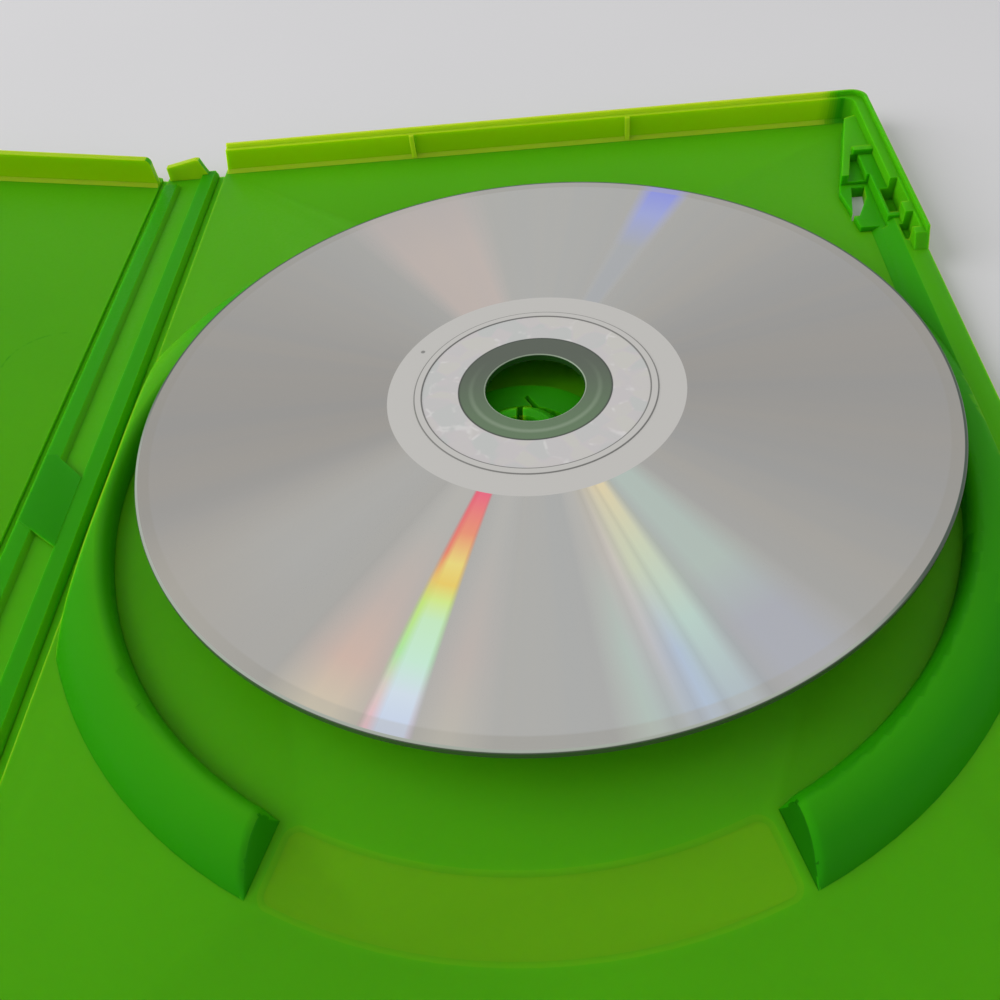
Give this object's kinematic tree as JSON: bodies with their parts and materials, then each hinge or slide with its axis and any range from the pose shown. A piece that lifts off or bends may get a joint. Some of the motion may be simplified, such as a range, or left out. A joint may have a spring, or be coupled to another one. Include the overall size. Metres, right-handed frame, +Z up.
{
  "type": "game disc case",
  "caption": "Open moulded plastic disc case: tray with hub, disc well ridge and latches, ribbed spine on living hinges, raised cover, and a loose optical disc lying on the hub.",
  "frame": {"origin": "on the tray's underside, straight below the middle of the hub", "axes": "+X to the tray's opening edge, +Y to the top end of the case, +Z up out of the open tray"},
  "size_m": [0.2796, 0.19, 0.0284],
  "materials": {
    "case_plastic": "satin translucent green polypropylene",
    "web_plastic": "thin satin translucent green polypropylene",
    "disc_plastic": "clear glossy polycarbonate over a silver reflective layer"
  },
  "bodies": {
    "tray": {"back_tray": "case_plastic", "game_disc": "disc_plastic", "tray_hinge_web": "web_plastic"},
    "spine": {"spine": "case_plastic", "cover_hinge_web": "web_plastic"},
    "cover": {"front_cover": "case_plastic"}
  },
  "joints": [
    {"name": "tray_hinge", "type": "hinge", "parent": "tray", "child": "spine", "pos_m": [-0.0648, 0, 0.0004], "axis": [0, 1, 0], "range_deg": [0, 90], "deforming": ["tray_hinge_web"]},
    {"name": "cover_hinge", "type": "hinge", "parent": "spine", "child": "cover", "pos_m": [-0.0774, 0, 0.0004], "axis": [0, 1, 0], "range_deg": [-8, 82], "deforming": ["cover_hinge_web"]}
  ]
}
